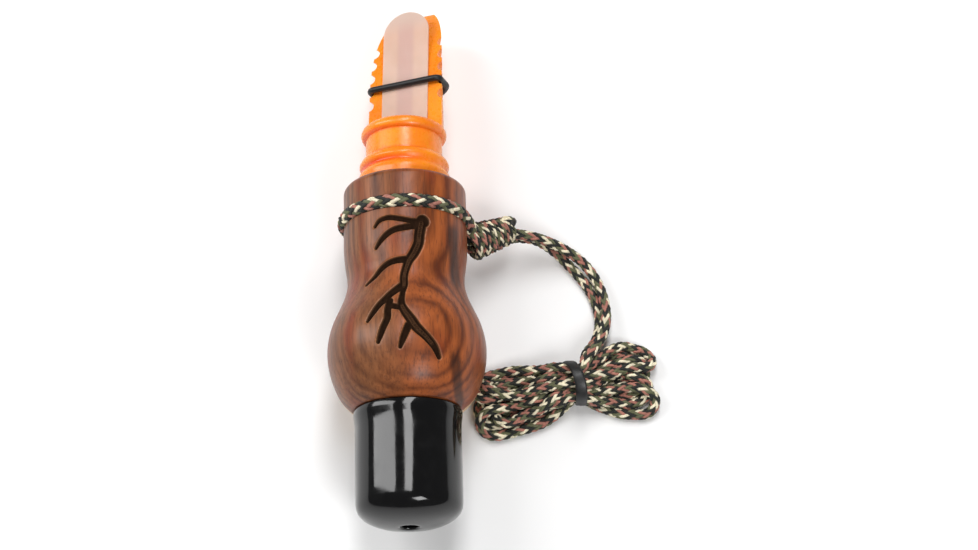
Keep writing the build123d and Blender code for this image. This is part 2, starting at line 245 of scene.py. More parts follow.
# ---------------------------------------------------------------- materials
def walnut():
    """Oiled walnut: growth rings round a pith that lies below and to the left, pores along the axis."""
    f = Finish("walnut_oiled")
    along = f.place(scale=(1, 0.16, 1))
    wander = f.noise(f.place(scale=(1, 0.30, 1)), 60, 3)
    xyz = f.add("SeparateXYZ", {0: f.place()})
    x, y, z = (xyz.outputs[k] for k in range(3))
    dx = f.math("ADD", x, 0.012)
    dz = f.math("ADD", z, 0.050)
    squared = f.math("ADD", f.math("MULTIPLY", dx, dx), f.math("MULTIPLY", dz, dz))
    drift = f.math("ADD", f.math("MULTIPLY", wander, 0.006), f.math("MULTIPLY", y, 0.03))
    ring = f.math("MULTIPLY", f.math("ADD", f.math("SQRT", squared), drift), 1 / 0.0022)
    ring_line = f.math("FRACT", ring, 0)
    ring_tone = f.ramp(ring_line, [(0.0, (0.0, 0.0, 0.0, 1)), (0.22, (0.55, 0.55, 0.55, 1)),
                                   (0.62, (1, 1, 1, 1)), (1.0, (0.0, 0.0, 0.0, 1))])
    strength = f.span(f.noise(along, 75, 2), 0.35, 0.65, 0.08, 0.52)
    ring_tone = f.mix(strength, (0.62, 0.62, 0.62, 1), ring_tone)
    figure = f.noise(f.place(scale=(1, 0.28, 1)), 150, 4, 0.6, 1.2)
    fibre = f.noise(f.place(scale=(1, 0.045, 1)), 1700, 3, 0.6)
    pores = f.noise(f.place(scale=(1, 0.09, 1)), 2600, 2, 0.5)
    pore_mask = f.span(pores, 0.60, 0.70)
    # painted light and shade: grey-brown to the left and orange-brown to the right, matched to how each side
    # is lit, the right's brighter orange standing in for light from that side
    side = f.math("ADD", x, f.math("MULTIPLY", f.math("SUBTRACT", f.noise(along, 70, 2), 0.5), 0.03))
    lit_side_tone = f.span(side, -0.008, 0.006)
    light = f.mix(lit_side_tone, srgb(142, 90, 56), srgb(166, 88, 43))
    dark = f.mix(lit_side_tone, srgb(80, 46, 29), srgb(84, 38, 18))
    tone = f.math("ADD", f.math("MULTIPLY", figure, 0.55), f.math("MULTIPLY", ring_tone, 0.55))
    wood = f.mix(f.span(tone, 0.36, 0.80), dark, light)
    blush = f.span(f.noise(f.place(scale=(1, 0.4, 1)), 110, 2), 0.50, 0.72, 0.0, 0.8)
    wood = f.mix(blush, wood, srgb(130, 54, 26))
    wood = f.mix(f.math("MULTIPLY", f.span(fibre, 0.45, 0.72), 0.45), wood, srgb(60, 32, 20))
    # one dark heartwood sheet that the turned surface cuts as a streak
    wave = f.math("MULTIPLY", f.math("SUBTRACT", f.noise(f.place(scale=(1, 0.5, 1)), 60, 2), 0.5), 0.006)
    sheet = f.math("ABSOLUTE", f.math("SUBTRACT", f.math("ADD", x, wave), 0.0118), 0)
    shown = f.math("MULTIPLY", f.span(y, 0.004, 0.001), f.span(y, -0.016, -0.010))
    shown = f.math("ADD", shown, f.span(y, -0.029, -0.033))
    streak = f.math("MULTIPLY", f.span(sheet, 0.0014, 0.0004, 0.0, 0.75), shown)
    wood = f.mix(streak, wood, srgb(40, 23, 16))
    # pale sapwood along the underside, which climbs towards the cap's shoulder
    climb = f.span(y, -0.022, -0.0405, 0.0045, 0.0185)
    edge = f.math("ADD", climb, f.math("MULTIPLY", f.math("SUBTRACT", wander, 0.5), 0.004))
    sap = f.span(f.math("SUBTRACT", edge, z), -0.0004, 0.0006)
    wood = f.mix(sap, wood, f.mix(fibre, srgb(214, 176, 138), srgb(236, 208, 172)))
    wood = f.mix(f.math("MULTIPLY", pore_mask, 0.38), wood, srgb(40, 24, 17))
    # the burnt engraving
    cut = f.attribute("engraved")
    wood = f.mix(f.math("MULTIPLY", f.span(cut, 0.0, 0.05), 0.22), wood, srgb(196, 140, 96))
    char = f.mix(f.noise(f.place(scale=(1, 0.5, 1)), 1200, 3), srgb(16, 10, 7), srgb(48, 32, 22))
    char = f.mix(f.span(cut, 0.85, 0.62, 0.0, 0.65), char, srgb(84, 58, 40))
    wood = f.mix(f.span(cut, 0.10, 0.40), wood, char)
    rough = f.math("ADD", f.span(pores, 0.3, 0.7, 0.36, 0.50), f.math("MULTIPLY", cut, 0.30))
    gloss = f.math("SUBTRACT", 1.0, f.span(cut, 0.1, 0.5))
    height = f.math("SUBTRACT", f.math("MULTIPLY", fibre, 0.5), pore_mask)
    f.set(Base_Color=wood, Roughness=rough, Normal=f.bump(height, 0.00005, 0.6))
    f.set(Specular_IOR_Level=f.math("MULTIPLY", gloss, 0.14), Coat_Weight=f.math("MULTIPLY", gloss, 0.30))
    f.set(Coat_Roughness=0.28)
    return f.material


def vinyl():
    """Dipped black vinyl: glossy, faintly rippled, with a few dull scuffs."""
    f = Finish("black_vinyl")
    ripple = f.noise(f.place(scale=(1, 0.45, 1)), 80, 2, 0.4)
    skin = f.noise(f.place(), 1400, 2)
    scuff = f.noise(f.place(), 260, 4)
    colour = f.mix(f.span(scuff, 0.45, 0.75), srgb(3, 3, 4), srgb(9, 9, 10))
    rough = f.span(scuff, 0.3, 0.8, 0.07, 0.17)
    coarse = f.bump(ripple, 0.0005, 0.5)
    f.set(Base_Color=colour, Roughness=rough, Normal=f.bump(skin, 0.00001, 0.4, coarse))
    f.set(Specular_IOR_Level=0.47)
    return f.material


def orange_plastic():
    """Moulded orange plastic, with painted shade and bounced light: a deeper red in the collar's hollows,
    strongest on the left.
    """
    f = Finish("orange_plastic")
    cloud = f.noise(f.place(), 110, 2)
    skin = f.noise(f.place(), 900, 3)
    xyz = f.add("SeparateXYZ", {0: f.place()})
    station = f.math("SUBTRACT", xyz.outputs[1], RIM_Y)
    # painted shade: the collar's hollows are tinted a deep red for the shade and bounced light there, more
    # on the left side
    shadowed = f.span(xyz.outputs[0], 0.009, -0.007, 0.25, 1.0)
    hollow_shade = 0.0
    for middle, half, strength in ((0.0046, 0.0013, 0.85), (0.0078, 0.0009, 0.35), (0.0134, 0.0009, 0.6)):
        near = f.math("ABSOLUTE", f.math("SUBTRACT", station, middle))
        hollow_shade = f.math("ADD", f.span(near, half, 0.0, 0.0, strength), hollow_shade)
    painted_hollow_shade = f.math("MULTIPLY", hollow_shade, shadowed, True)
    colour = f.mix(f.span(cloud, 0.3, 0.7), srgb(242, 128, 18), srgb(249, 144, 26))
    colour = f.mix(painted_hollow_shade, colour, srgb(222, 58, 14))
    rough = f.span(skin, 0.3, 0.7, 0.24, 0.34)
    f.set(Base_Color=colour, Roughness=rough, Normal=f.bump(skin, 0.00002, 0.5))
    f.set(Subsurface_Weight=0.22, Subsurface_Scale=0.004, Subsurface_Radius=(1.0, 0.35, 0.08))
    return f.material


def milky_film():
    """The reed's milky film, with painted shade over the channel in the board, where the dark channel shows
    through the film.
    """
    f = Finish("milky_reed_film")
    across = f.attribute("across")
    grain = f.noise(f.place(scale=(1, 0.1, 1)), 500, 3)
    cloud = f.noise(f.place(), 90, 2)
    clear = f.mix(f.span(cloud, 0.35, 0.65), srgb(206, 171, 152), srgb(212, 178, 161))
    # painted shade: the film is tinted darker and mauve where the empty channel lies under it
    channel_shade = f.span(across, 0.0029, 0.0014)
    colour = f.mix(f.math("MULTIPLY", channel_shade, 0.60), clear, srgb(192, 155, 149))
    colour = f.mix(f.span(f.attribute("tip"), 0.0, 1.0), colour, srgb(198, 174, 161))
    rough = f.span(grain, 0.3, 0.7, 0.30, 0.42)
    f.set(Base_Color=colour, Roughness=rough, Normal=f.bump(grain, 0.00001, 0.6))
    f.set(Subsurface_Weight=0.35, Subsurface_Scale=0.0015, Subsurface_Radius=(1.0, 0.7, 0.6))
    return f.material


def rubber():
    """Dull black rubber with a little dust."""
    f = Finish("black_rubber")
    dust = f.noise(f.place(), 700, 4)
    colour = f.mix(f.span(dust, 0.4, 0.75), srgb(10, 10, 11), srgb(24, 23, 23))
    rough = f.span(dust, 0.3, 0.7, 0.38, 0.52)
    f.set(Base_Color=colour, Roughness=rough, Normal=f.bump(dust, 0.00003, 0.6))
    return f.material


def cork():
    """Pressed cork."""
    f = Finish("cork")
    speck = f.noise(f.place(), 1100, 4, 0.65)
    cell = f.add("TexVoronoi", {"Vector": f.place(), "Scale": 900.0}).outputs["Distance"]
    colour = f.mix(f.span(speck, 0.42, 0.6), srgb(122, 80, 47), srgb(201, 158, 112))
    height = f.math("ADD", speck, cell)
    rough = f.span(speck, 0.3, 0.7, 0.75, 0.9)
    f.set(Base_Color=colour, Roughness=rough, Normal=f.bump(height, 0.0001, 0.8))
    return f.material


YARN_COLOURS = [srgb(22, 25, 20), srgb(98, 100, 70), srgb(246, 236, 206), srgb(176, 116, 101)]


def braided_cord():
    """Camouflage braid: each yarn carries the number of its colour."""
    f = Finish("camo_braid")
    stops = [(k / 4, colour) for k, colour in enumerate(YARN_COLOURS)]
    base = f.ramp(f.attribute("yarn"), stops, "CONSTANT")
    fuzz = f.noise(f.place(), 2600, 3, 0.6)
    shade = f.noise(f.place(), 320, 2)
    fibre = f.mix(f.span(fuzz, 0.3, 0.75), (0.80, 0.80, 0.80, 1), (1.35, 1.33, 1.28, 1))
    colour = f.mix(0.8, base, fibre, "MULTIPLY")
    colour = f.mix(f.span(shade, 0.3, 0.7, 0.0, 0.22), colour, (0.012, 0.014, 0.010, 1))
    rough = f.span(fuzz, 0.3, 0.7, 0.62, 0.78)
    f.set(Base_Color=colour, Roughness=rough, Normal=f.bump(fuzz, 0.00012, 0.8))
    f.set(Sheen_Weight=0.08, Sheen_Roughness=0.5)
    return f.material


def melted_cord():
    """The glossy lump of a cord end sealed with a flame."""
    f = Finish("melted_cord_end")
    lump = f.noise(f.place(), 900, 3)
    colour = f.mix(f.span(lump, 0.35, 0.7), srgb(14, 14, 13), srgb(58, 52, 44))
    rough = f.span(lump, 0.3, 0.7, 0.30, 0.55)
    f.set(Base_Color=colour, Roughness=rough, Normal=f.bump(lump, 0.0002, 0.8))
    return f.material


def floor_finish():
    """A pale, even table top."""
    f = Finish("pale_floor")
    cloud = f.noise(f.place(), 3, 2)
    f.set(Base_Color=f.mix(cloud, (0.90, 0.90, 0.90, 1), (0.93, 0.93, 0.93, 1)))
    f.set(Roughness=f.span(cloud, 0.3, 0.7, 0.75, 0.8))
    return f.material


# ---------------------------------------------------------------- braided cord
YARNS = 8                    # yarns that run each way round the cord
BRAID_D = 3.3 * MM           # the cord that the braid's sizes below are for
BRAID_PITCH = 17.5 * MM
YARN_COLOUR = {1: (0, 1, 2, 0, 3, 1, 0, 3), -1: (0, 1, 3, 0, 2, 0, 1, 2)}
YARN_SIDES = 6
YARN_HALF_WIDE = 0.50 * MM
YARN_HALF_THICK = 0.36 * MM
YARN_REACH = 1.06            # mean distance of a yarn from the cord's line, in mm
YARN_WAVE = 0.27             # how far it rises over and dips under the others, in mm
CORE_R = 1.0 * MM


def braid(name, line, diameter, material, step=0.6 * MM, pick=1.0):
    """A sleeve of yarns, each over two and under two of those that cross it, on a core given the black
    yarn's colour as painted shade in the gaps between the yarns.
    """
    line, length = evenly(np.asarray(line), step)
    _, side, up = carried_frames(line)
    at = np.linspace(0, length, len(line))
    size = diameter / BRAID_D
    pitch = BRAID_PITCH * size * pick
    crossing = 2 * YARNS * at / pitch
    around = np.linspace(0, 2 * np.pi, YARN_SIDES, endpoint=False)
    verts, faces, colours = [], [], []
    count = 0
    for way in (1, -1):
        for index in range(YARNS):
            angle = 2 * np.pi * index / YARNS + way * 2 * np.pi * at / pitch
            wave = np.cos((2 * index + way * crossing - 0.5) * np.pi / 2)
            reach = (YARN_REACH + YARN_WAVE * way * wave) * MM * size
            out = np.cos(angle)[:, None] * side + np.sin(angle)[:, None] * up
            across = np.cos(angle)[:, None] * up - np.sin(angle)[:, None] * side
            wide = YARN_HALF_WIDE * size * np.cos(around)[None, :, None] * across[:, None, :]
            thick = YARN_HALF_THICK * size * np.sin(around)[None, :, None] * out[:, None, :]
            tube = (line + reach[:, None] * out)[:, None, :] + wide + thick
            verts.append(tube.reshape(-1, 3))
            faces.extend(grid_faces(len(line), YARN_SIDES, wrap_columns=True, start=count).tolist())
            faces.append(list(range(count, count + YARN_SIDES)))
            last = count + (len(line) - 1) * YARN_SIDES
            faces.append(list(range(last + YARN_SIDES - 1, last - 1, -1)))
            colours.extend([(YARN_COLOUR[way][index] + 0.5) / 4] * (len(line) * YARN_SIDES))
            count += len(line) * YARN_SIDES
    circle = np.cos(around)[None, :, None] * side[:, None] + np.sin(around)[None, :, None] * up[:, None]
    ring = CORE_R * size * circle
    verts.append((line[:, None, :] + ring).reshape(-1, 3))
    faces.extend(grid_faces(len(line), YARN_SIDES, wrap_columns=True, start=count).tolist())
    # painted shade: the core takes the black yarn's colour so the gaps between the yarns look dark
    colours.extend([0.125] * (len(line) * YARN_SIDES))
    piece = add_piece(name, np.concatenate(verts), faces, material)
    point_values(piece, "yarn", colours)
    return piece, line, length


# ---------------------------------------------------------------- lanyard
RUN_OUTER = [
    (0.0270, 0.0066, 0.0120),
    (0.0308, 0.0063, 0.0109),
    (0.0345, 0.0056, 0.0093),
    (0.0379, 0.0047, 0.0073),
    (0.0409, 0.0034, 0.0055),
    (0.0436, 0.0016, 0.0042),
    (0.0458, -0.0009, 0.0034),
    (0.0474, -0.0039, 0.0031),
    (0.0485, -0.0074, 0.0032),
    (0.0490, -0.0110, 0.0036),
    (0.0489, -0.0146, 0.0041),
    (0.0480, -0.0179, 0.0047),
    (0.0465, -0.0207, 0.0055),
    (0.0447, -0.0230, 0.0066),
]
RUN_INNER = [
    (0.0272, 0.0070, 0.0084),
    (0.0309, 0.0071, 0.0074),
    (0.0339, 0.0063, 0.0059),
    (0.0367, 0.0048, 0.0041),
    (0.0392, 0.0028, 0.0025),
    (0.0415, 0.0003, 0.0016),
    (0.0437, -0.0024, 0.0014),
    (0.0455, -0.0054, 0.0014),
    (0.0468, -0.0087, 0.0014),
    (0.0474, -0.0119, 0.0014),
    (0.0474, -0.0150, 0.00145),
    (0.0466, -0.0181, 0.0019),
    (0.0451, -0.0207, 0.0027),
    (0.0432, -0.0229, 0.0038),
]
BAND_X = (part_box("hank_band")[0].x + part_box("hank_band")[1].x) / 2
BAND_Y = (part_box("hank_band")[0].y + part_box("hank_band")[1].y) / 2 - 0.2 * MM
BAND_Z = (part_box("hank_band")[0].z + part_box("hank_band")[1].z) / 2
LOBE_LEFT_X = 0.0225
LOBE_RIGHT_X = 0.0535
# One entry for each length of cord along the hank, in the order that the cord runs through it, to the left
# and back in turn: (y, z) in the left lobe, (y, z) off the band's middle, (y, z) in the right lobe, and how
# far the fold at its far end reaches. The first and the last are the two strands that come from the knot.
PASSES = [
    ((-0.0280, 0.0040), (0.0012, 0.0034), None, 0.0148),
    ((-0.0334, 0.0042), (0.0034, 0.0011), (-0.0218, 0.0036), 0.0611),
    ((-0.0307, 0.0042), (0.0012, 0.0011), (-0.0276, 0.0040), 0.0168),
    ((-0.0375, 0.0014), (0.0012, -0.0011), (-0.0248, 0.0042), 0.0588),
    ((-0.0321, 0.0014), (0.0012, -0.0034), (-0.0298, 0.0014), 0.0160),
    ((-0.0402, 0.0014), (-0.0012, -0.0034), (-0.0236, 0.0014), 0.0576),
    ((-0.0361, 0.0042), (-0.0012, -0.0011), (-0.0326, 0.0014), 0.0150),
    ((-0.0414, 0.0038), (-0.0034, -0.0011), (-0.0370, 0.0036), 0.0611),
    ((-0.0388, 0.0042), (-0.0012, 0.0011), (-0.0312, 0.0040), 0.0185),
    ((-0.0348, 0.0014), (-0.0034, 0.0011), (-0.0342, 0.0042), 0.0582),
    ((-0.0346, 0.0066), (-0.0012, 0.0034), (-0.0266, 0.0014), 0.0175),
    ((-0.0294, 0.0014), (0.0034, -0.0011), None, None),
]


def hank_points():
    """Control points of the folded cord, from the first strand's entry to the last one's exit."""
    points = []
    to_left = True
    for number, (left, off_band, right, fold) in enumerate(PASSES):
        band = (BAND_Y + off_band[0], BAND_Z + off_band[1])
        stations = [LOBE_LEFT_X, (LOBE_LEFT_X + BAND_X) / 2, BAND_X]
        places = [left, tuple((a + b) / 2 for a, b in zip(left, band)), band]
        if right is not None:
            stations += [(LOBE_RIGHT_X + BAND_X) / 2, LOBE_RIGHT_X]
            places += [tuple((a + b) / 2 for a, b in zip(band, right)), right]
        leg = [(station, *place) for station, place in zip(stations, places)]
        if to_left:
            leg.reverse()
        points.extend(leg)
        if fold is not None:
            here = left if to_left else right
            following = PASSES[number + 1]
            there = following[0] if to_left else following[2]
            points.append((fold, *here))
            points.append((fold, *there))
        to_left = not to_left
    return points


def barrel_clearance():
    """Radius of the barrel and cap at each y, for keeping the cord outside them."""
    graph = bpy.context.evaluated_depsgraph_get()
    trees = [BVHTree.FromObject(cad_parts[name], graph) for name in ("barrel", "end_cap")]
    ys = np.linspace(-0.068, RIM_Y, 60)
    radii = []
    for y in ys:
        hits = [t.ray_cast(Vector((0.1, y, AXIS_Z)), Vector((-1, 0, 0)))[0] for t in trees]
        radii.append(max([h.x for h in hits if h is not None], default=0.0))
    return ys, np.array(radii)


SETTLE_STEP = 2.4 * MM       # spacing of the points that are settled
SETTLE_ROUNDS = 900
SINK = 0.00002               # how far each point drops in a round, as the cord's weight
# How far apart the two points this many places either side of a point stay, which limits the bends.
LEAST_CHORDS = ((1, 4.55 * MM), (2, 6.0 * MM))
PINCH = 0.14                 # share of its diameter that the cord gives up under the band
BAND_OVAL = (0.0034, 0.0041)  # half width and height that the cord's line keeps to under the band


def settle(points, fixed):
    """Pushes the folded cord's lengths apart under its own weight; a few still press into each other."""
    p = np.array(points, float)
    start = p.copy()
    ys, radii = barrel_clearance()
    gap = np.linalg.norm(np.diff(p, axis=0), axis=1)
    far = np.abs(np.subtract.outer(np.arange(len(p)), np.arange(len(p)))) > 2
    for _ in range(SETTLE_ROUNDS):
        p[:, 2] -= SINK
        bend = np.zeros_like(p)
        bend[1:-1] = (p[:-2] + p[2:]) / 2 - p[1:-1]
        p += 0.04 * bend
        p += 0.004 * (start - p)
        step = np.diff(p, axis=0)
        length = np.linalg.norm(step, axis=1)
        fix = (step * ((length - gap) / length)[:, None]) * 0.5
        p[:-1] += fix * 0.5
        p[1:] -= fix * 0.5
        for places, least in LEAST_CHORDS:
            chord = p[2 * places:] - p[:-2 * places]
            long = np.linalg.norm(chord, axis=1)
            spread = chord * (np.maximum(least - long, 0) / (long + 1e-9))[:, None] * 0.40
            p[2 * places:] += spread
            p[:-2 * places] -= spread
        apart = p[:, None, :] - p[None, :, :]
        distance = np.linalg.norm(apart, axis=2) + 1e-9
        tight = np.exp(-((p[:, 0] - BAND_X) / 0.005) ** 2)
        wanted = CORD_D * (1.0 - PINCH * np.maximum(tight[:, None], tight[None, :]))
        push = np.where(far & (distance < wanted), (wanted - distance) / distance, 0.0)
        p += 0.36 * (apart * push[:, :, None]).sum(axis=1)
        near = np.abs(p[:, 0] - BAND_X) < 0.0021
        local = p[near][:, 1:] - (BAND_Y, BAND_Z)
        oval = np.linalg.norm(local / BAND_OVAL, axis=1)
        shrink = np.where(oval > 1, 1 / np.maximum(oval, 1e-9), 1.0)
        p[near, 1:] = local * shrink[:, None] + (BAND_Y, BAND_Z)
        away = p[:, [0, 2]] - (0.0, AXIS_Z)
        reach = np.linalg.norm(away, axis=1)
        keep = np.interp(p[:, 1], ys, radii) + CORD_D / 2 + 0.0003
        inside = reach < keep
        p[inside, 0] = (away[:, 0] * keep / reach)[inside]
        p[inside, 2] = (AXIS_Z + away[:, 1] * keep / reach)[inside]
        p[:, 2] = np.maximum(p[:, 2], CORD_D / 2 + 0.00005)
        p[fixed] = start[fixed]
    return p


def divide(points, step):
    """Evenly spaced points of the folded cord's line, for settling."""
    return evenly(spline_line(points), step)[0]


def make_lanyard(cloth):
    """The lanyard's cord from the knot along one strand, through the hank and back along the other."""
    folded = hank_points()
    turns = divide([RUN_OUTER[-1], *folded, RUN_INNER[-1]], SETTLE_STEP)
    settled = settle(turns, [0, -1])
    route = [*RUN_OUTER[:-1], *settled, *RUN_INNER[-2::-1]]
    line = spline_line(route)
    piece, line, length = braid("lanyard_cord", line, CORD_D, cloth)
    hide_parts("run_outer", "run_inner", "lanyard_hank")
    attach(piece, "barrel")
    return piece, line, length


LOOP_R = 15.0 * MM
LOOP_Y = RIM_Y - 8.8 * MM
KNOT_REAR = Vector((0.0171, 0.0049, 0.0124))
KNOT_FRONT = Vector((0.0273, 0.0090, 0.0102))
KNOT_CORD_D = 2.3 * MM       # the cord is pulled thin in the wraps
KNOT_TURNS = 6


def make_neck_loop(cloth):
    """The noose: out of the knot, round the barrel in its groove and back into the knot."""
    inside_knot = KNOT_REAR.lerp(KNOT_FRONT, 0.35)
    up = inside_knot + Vector((0, -0.0005, 0.0016))
    down = inside_knot + Vector((0, 0.0005, -0.0016))
    points = [up, KNOT_REAR + Vector((-0.0006, 0.0004, 0.0012)), (0.0160, LOOP_Y - 0.0008, 0.0178)]
    first = math.radians(22)
    last = math.radians(302)
    count = 14
    ring_r = LOOP_R / math.cos((last - first) / count / 2)
    for k in range(count + 1):
        angle = first + (last - first) * k / count
        points.append((ring_r * math.cos(angle), LOOP_Y, AXIS_Z + ring_r * math.sin(angle)))
    points += [(0.0128, LOOP_Y - 0.0006, 0.0090), KNOT_REAR + Vector((-0.0004, 0.0010, -0.0018)), down]
    line = spline_line(points)
    piece, line, length = braid("neck_cord", line, LOOP_CORD_D, cloth, 0.5 * MM, 0.88)
    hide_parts("neck_loop")
    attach(piece, "barrel")


def make_knot(cloth):
    """Wraps of the same cord, pulled tight round the strands, each leaning on the one before."""
    axis = KNOT_FRONT - KNOT_REAR
    length = axis.length
    forward = axis.normalized()
    side = forward.cross(Vector((0, 0, 1))).normalized()
    up = side.cross(forward)
    points = []
    per_turn = 14
    for k in range(KNOT_TURNS * per_turn + 1):
        share = k / (KNOT_TURNS * per_turn)
        angle = 2.2 - 2 * math.pi * k / per_turn
        bulge = 0.0040 - 0.0015 * share
        lean = 0.0008 * math.cos(angle - 0.3)
        along = -0.0019 + (length + 0.0007) * share + lean
        points.append(KNOT_REAR + forward * along + bulge * (math.cos(angle) * side + math.sin(angle) * up))
    piece, line, _ = braid("knot_wraps", spline_line(points), KNOT_CORD_D, cloth)
    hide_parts("lanyard_knot")
    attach(piece, "barrel")
    return piece


TAIL_ROOT = Vector((0.0240, 0.0098, 0.0130))
TAIL_TIP = Vector((0.0272, 0.0091, 0.0132))


def make_tail(cloth):
    """The cord's own end, sealed with a flame, that stands out of the knot."""
    middle = TAIL_ROOT.lerp(TAIL_TIP, 0.5) + Vector((0, 0, 0.0002))
    start = TAIL_ROOT - Vector((0.0014, 0.0012, 0.0026))
    line = spline_line([start, TAIL_ROOT, middle, TAIL_TIP - Vector((0.0009, 0.0001, 0.0001))])
    piece, line, _ = braid("cord_tail", line, CORD_D, cloth, 0.45 * MM)
    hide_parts("knot_tail")
    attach(piece, "barrel")
    forward = Vector(line[-1] - line[-3]).normalized()
    side = forward.cross(Vector((0, 0, 1))).normalized()
    up = side.cross(forward)
    rows, columns = 9, 22
    verts = []
    for i in range(rows):
        share = i / (rows - 1)
        for j in range(columns):
            angle = 2 * math.pi * j / columns
            lump = 1 + 0.10 * noise.noise(Vector((3 * math.cos(angle), 3 * math.sin(angle), 4 * share)))
            radius = 0.00142 * lump * math.cos(share * math.pi / 2) ** 0.55
            along = -0.0003 + 0.00125 * math.sin(share * math.pi / 2)
            spoke = math.cos(angle) * side + math.sin(angle) * up
            verts.append(Vector(line[-1]) + forward * along + radius * spoke)
    faces = grid_faces(rows, columns, wrap_columns=True).tolist()
    faces.append(list(range(columns))[::-1])
    tip = add_piece("sealed_cord_end", verts, faces, melted_cord())
    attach(tip, "barrel")
    return piece, tip


def make_band(material):
    """The rubber band: a soft-edged strip that is a little slanted and pinched by the turns under it."""
    half_y = 0.0055
    half_z = 0.0062
    half_wide = 0.0014
    thick = 0.0008
    section = []
    columns = 20
    for k in range(columns):
        angle = 2 * math.pi * k / columns
        c, s = math.cos(angle), math.sin(angle)
        along = half_wide * math.copysign(abs(c) ** 0.55, c)
        section.append((along, thick / 2 * math.copysign(abs(s) ** 0.7, s)))
    verts = []
    rows = 120
    for i in range(rows):
        angle = 2 * math.pi * i / rows
        c, s = math.cos(angle), math.sin(angle)
        dent = 1 - 0.012 * (1 + math.cos(6 * angle + 0.7))
        slant = -0.0004 - 0.0014 * c + 0.0008 * s * s
        centre = Vector((BAND_X + slant, BAND_Y + (half_y - thick / 2) * c * dent,
                         BAND_Z + (half_z - thick / 2) * s * dent))
        outward = Vector((0, c / half_y, s / half_z)).normalized()
        for along, out in section:
            verts.append(centre + Vector((along, 0, 0)) + outward * out)
    band = add_piece("rubber_band", verts, grid_faces(rows, columns, True, True), material)
    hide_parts("hank_band")
    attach(band, "barrel")
    return band


# ---------------------------------------------------------------- barrel
# The engraved antler: strokes as (angle from the top towards +X in degrees, station in mm, width in mm)
BEAM = [(18, -14.5, 2.4), (16, -17.3, 2.4), (15, -19.6, 2.3), (11, -21.9, 2.2), (6, -23.8, 1.9),
        (3, -25.8, 1.7), (1, -28.0, 1.7), (1, -30.4, 1.7), (0, -32.7, 1.1), (-1, -35.6, 1.5),
        (1, -37.6, 1.9), (6, -40.2, 2.2), (10, -42.2, 2.2), (17, -44.4, 1.8), (23, -46.5, 1.5),
        (27, -48.7, 0.9)]
TINES = [
    [(16, -14.1, 1.2), (9, -14.1, 1.1), (-1, -13.6, 1.1), (-10, -13.1, 1.1), (-16, -13.1, 1.0),
     (-22, -13.6, 0.9), (-26, -14.8, 0.6)],
    [(14, -15.2, 1.5), (3, -15.7, 1.4), (-7, -16.2, 1.35), (-14, -17.1, 1.3), (-20, -18.4, 1.1),
     (-26, -20.2, 0.6)],
    [(3, -23.6, 1.5), (-7, -23.8, 1.3), (-15, -24.4, 1.2), (-22, -25.6, 1.2), (-28, -27.3, 1.0),
     (-36, -29.0, 0.6)],
    [(-1, -30.7, 1.8), (-7, -32.2, 1.8), (-11, -33.3, 1.7), (-14, -34.4, 1.7), (-18, -35.7, 1.5),
     (-22, -37.6, 1.3), (-26, -39.7, 0.7)],
    [(-10, -35.0, 1.5), (-11, -37.5, 1.5), (-11, -39.6, 1.5), (-14, -41.9, 1.4), (-16, -43.6, 1.2),
     (-18, -45.2, 0.7)],
    [(-8, -36.4, 1.3), (-5, -36.7, 1.3), (0, -37.0, 1.4)],
    [(4, -41.7, 1.6), (2, -43.3, 1.5), (0, -44.9, 1.3), (-2, -46.7, 0.7)],
]
BURR = (19, -14.0, 2.9)
ENGRAVE_DEPTH = 0.62 * MM


def smooth_stroke(points, per_run=6):
    """A stroke's points joined by a smooth curve through them."""
    p = np.array(points, float)
    padded = np.vstack([2 * p[0] - p[1], p, 2 * p[-1] - p[-2]])
    out = []
    for a, b, c, d in zip(padded, padded[1:], padded[2:], padded[3:]):
        for t in np.arange(per_run) / per_run:
            out.append(0.5 * (2 * b + (c - a) * t + (2 * a - 5 * b + 4 * c - d) * t * t
                              + (3 * b - a - 3 * c + d) * t ** 3))
    out.append(p[-1])
    return np.array(out)


def engraving(angle, station, radius):
    """How deep the cut is, 0 to 1, at points given by angle, station and the barrel's radius there."""
    depth = np.zeros_like(angle)
    ridge = np.zeros_like(angle)
    u = np.radians(angle) * radius / MM
    v = station / MM
    scale = radius / MM
    for number, stroke in enumerate([BEAM, *TINES, [BURR, (19.5, -14.1, 2.9)]]):
        line = smooth_stroke(stroke) if number < len(TINES) + 1 else np.array(stroke)
        for a, b in zip(line, line[1:]):
            ax, ay = np.radians(a[0]) * scale, a[1]
            bx, by = np.radians(b[0]) * scale, b[1]
            dx, dy = bx - ax, by - ay
            t = np.clip(((u - ax) * dx + (v - ay) * dy) / (dx * dx + dy * dy + 1e-9), 0, 1)
            distance = np.hypot(u - ax - t * dx, v - ay - t * dy)
            half = (a[2] + t * (b[2] - a[2])) / 2
            inside = np.clip((half + 0.30 - distance) / 0.46, 0, 1)
            cut = inside * inside * (3 - 2 * inside)
            depth = np.maximum(depth, cut)
            if number == 0:
                line_at = np.abs(distance - 0.40 * half)
                ridge = np.maximum(ridge, np.where(half > 0.8, np.clip(1 - line_at / 0.22, 0, 1), 0) * cut)
    return depth - 0.38 * ridge


def barrel_outline():
    """The barrel's outer radius at a list of stations, read off the CAD barrel."""
    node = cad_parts["barrel"]
    tree = BVHTree.FromObject(node, bpy.context.evaluated_depsgraph_get())
    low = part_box("end_cap")[1].y - RIM_Y + 0.0005
    stations = np.concatenate([
        np.linspace(-1.6, -6.6, 22, endpoint=False) * MM,
        np.linspace(-6.6, -11.2, 40, endpoint=False) * MM,
        np.linspace(-11.2, -51.0, 190, endpoint=False) * MM,
        np.linspace(-51.0, low / MM + 0.02, 24) * MM,
    ])
    angle = math.radians(171)
    out = Vector((math.sin(angle), 0, math.cos(angle)))
    radii = []
    for station in stations:
        origin = Vector((0, RIM_Y + station, AXIS_Z)) + out * 0.05
        hit = tree.ray_cast(origin, -out)[0]
        radii.append((hit - Vector((0, RIM_Y + station, AXIS_Z))).length)
    return stations, np.array(radii)


